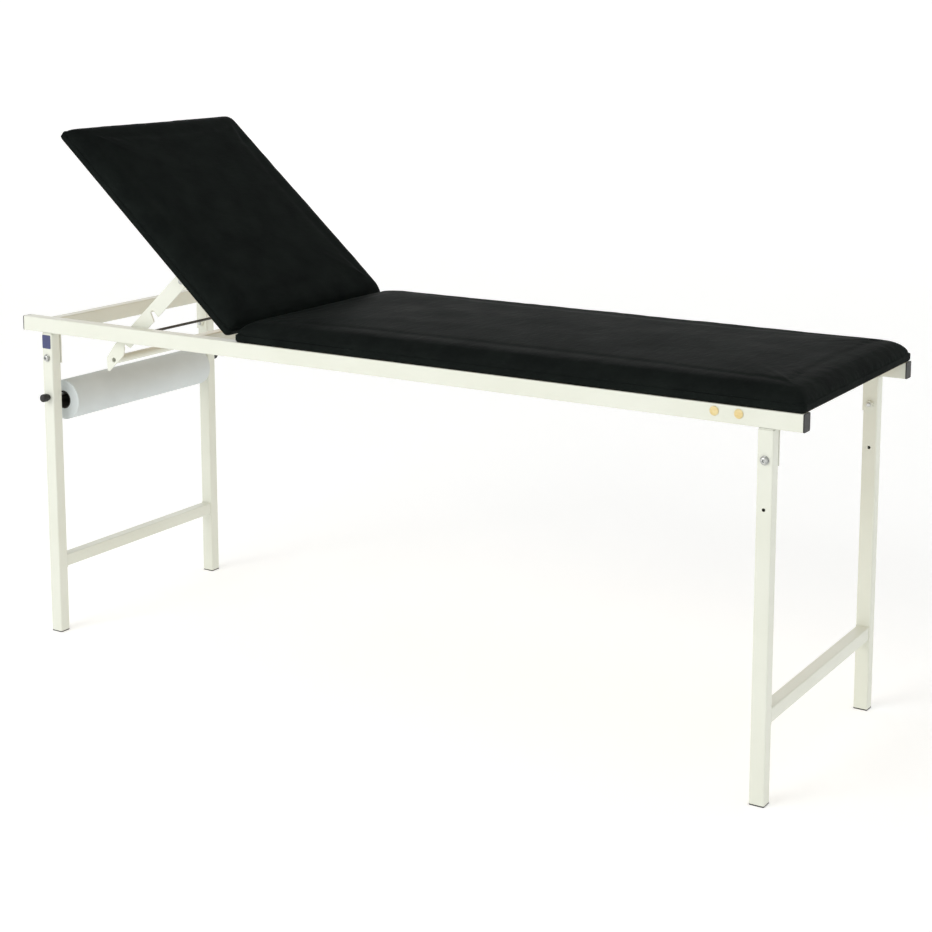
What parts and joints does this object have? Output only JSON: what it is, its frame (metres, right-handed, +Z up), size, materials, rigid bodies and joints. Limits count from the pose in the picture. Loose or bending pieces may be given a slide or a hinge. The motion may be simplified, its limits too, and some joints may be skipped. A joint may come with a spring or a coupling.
{
  "type": "medical exam table",
  "caption": "Flat exam couch on a painted steel tube frame with H-frame legs, a hinged backrest held by a ratchet prop, and a paper roll hung under the head end.",
  "frame": {"origin": "on the floor, under the centre of the frame", "axes": "+X towards the foot end, +Y to the far long side, +Z up"},
  "size_m": [1.8346, 0.5906, 1.1353],
  "materials": {
    "cream_enamel": "smooth semi-gloss cream powder coat",
    "black_plastic": "moulded black polyethylene",
    "beige_plastic": "moulded beige nylon",
    "zinc_steel": "bright zinc plate",
    "dark_steel": "blackened steel bar",
    "black_vinyl": "grained black PVC upholstery",
    "plywood": "bare birch plywood",
    "foam": "open-cell polyurethane foam",
    "paper": "crepe couch-roll paper",
    "cardboard": "dark grey wound cardboard",
    "blue_label": "blank printed film"
  },
  "bodies": {
    "frame": {"blank_label": "blue_label", "cross_rail_foot": "cream_enamel", "cross_rail_head": "cream_enamel", "cross_rail_middle": "cream_enamel", "hinge_leaf_seat_far": "zinc_steel", "hinge_leaf_seat_near": "zinc_steel", "hinge_pin_far": "zinc_steel", "hinge_pin_near": "zinc_steel", "leg_bolt_foot_far": "zinc_steel", "leg_bolt_foot_near": "zinc_steel", "leg_bolt_head_far": "zinc_steel", "leg_bolt_head_near": "zinc_steel", "leg_bracket_foot_far": "cream_enamel", "leg_bracket_foot_near": "cream_enamel", "leg_bracket_head_far": "cream_enamel", "leg_bracket_head_near": "cream_enamel", "leg_crossbar_foot": "cream_enamel", "leg_crossbar_head": "cream_enamel", "leg_foot_far": "cream_enamel", "leg_foot_near": "cream_enamel", "leg_head_far": "cream_enamel", "leg_head_near": "cream_enamel", "leg_tip_foot_far": "black_plastic", "leg_tip_foot_near": "black_plastic", "leg_tip_head_far": "black_plastic", "leg_tip_head_near": "black_plastic", "rail_cap_foot_far": "black_plastic", "rail_cap_foot_near": "black_plastic", "rail_cap_head_far": "black_plastic", "rail_cap_head_near": "black_plastic", "rail_hole_plug_1": "beige_plastic", "rail_hole_plug_2": "beige_plastic", "ratchet_rod": "dark_steel", "roll_rod": "zinc_steel", "seat_board": "plywood", "seat_cover": "black_vinyl", "seat_foam": "foam", "seat_tab_foot_far": "cream_enamel", "seat_tab_foot_near": "cream_enamel", "seat_tab_head_far": "cream_enamel", "seat_tab_head_near": "cream_enamel", "side_rail_far": "cream_enamel", "side_rail_near": "cream_enamel"},
    "backrest": {"back_board": "plywood", "back_cover": "black_vinyl", "back_foam": "foam", "hinge_leaf_back_far": "zinc_steel", "hinge_leaf_back_near": "zinc_steel", "prop_bracket_far": "cream_enamel", "prop_bracket_near": "cream_enamel", "prop_pin_far": "zinc_steel", "prop_pin_near": "zinc_steel"},
    "prop": {"prop_arm_far": "cream_enamel", "prop_arm_near": "cream_enamel", "prop_tie_tube": "cream_enamel"},
    "paper_roll": {"paper_roll": "paper", "roll_core": "cardboard"},
    "knob_near": {"roll_knob_near": "black_plastic"},
    "knob_far": {"roll_knob_far": "black_plastic"}
  },
  "joints": [
    {"name": "backrest_tilt", "type": "hinge", "parent": "frame", "child": "backrest", "pos_m": [-0.3245, 0, 0.733], "axis": [0, 1, 0], "range_deg": [-41.1, 0]},
    {"name": "prop_swing", "type": "hinge", "parent": "backrest", "child": "prop", "pos_m": [-0.4829, 0, 0.82539], "axis": [0, 1, 0], "range_deg": [0, 82.8]},
    {"name": "paper_roll_spin", "type": "hinge", "parent": "frame", "child": "paper_roll", "pos_m": [-0.8475, 0, 0.5258], "axis": [0, 1, 0], "continuous": true},
    {"name": "knob_near_turn", "type": "hinge", "parent": "frame", "child": "knob_near", "pos_m": [-0.8475, 0, 0.54], "axis": [0, 1, 0], "continuous": true},
    {"name": "knob_far_turn", "type": "hinge", "parent": "frame", "child": "knob_far", "pos_m": [-0.8475, 0, 0.54], "axis": [0, 1, 0], "continuous": true}
  ],
  "couplings": [
    {"joint": "prop_swing", "follows": "backrest_tilt", "ratio": -2.0146}
  ]
}
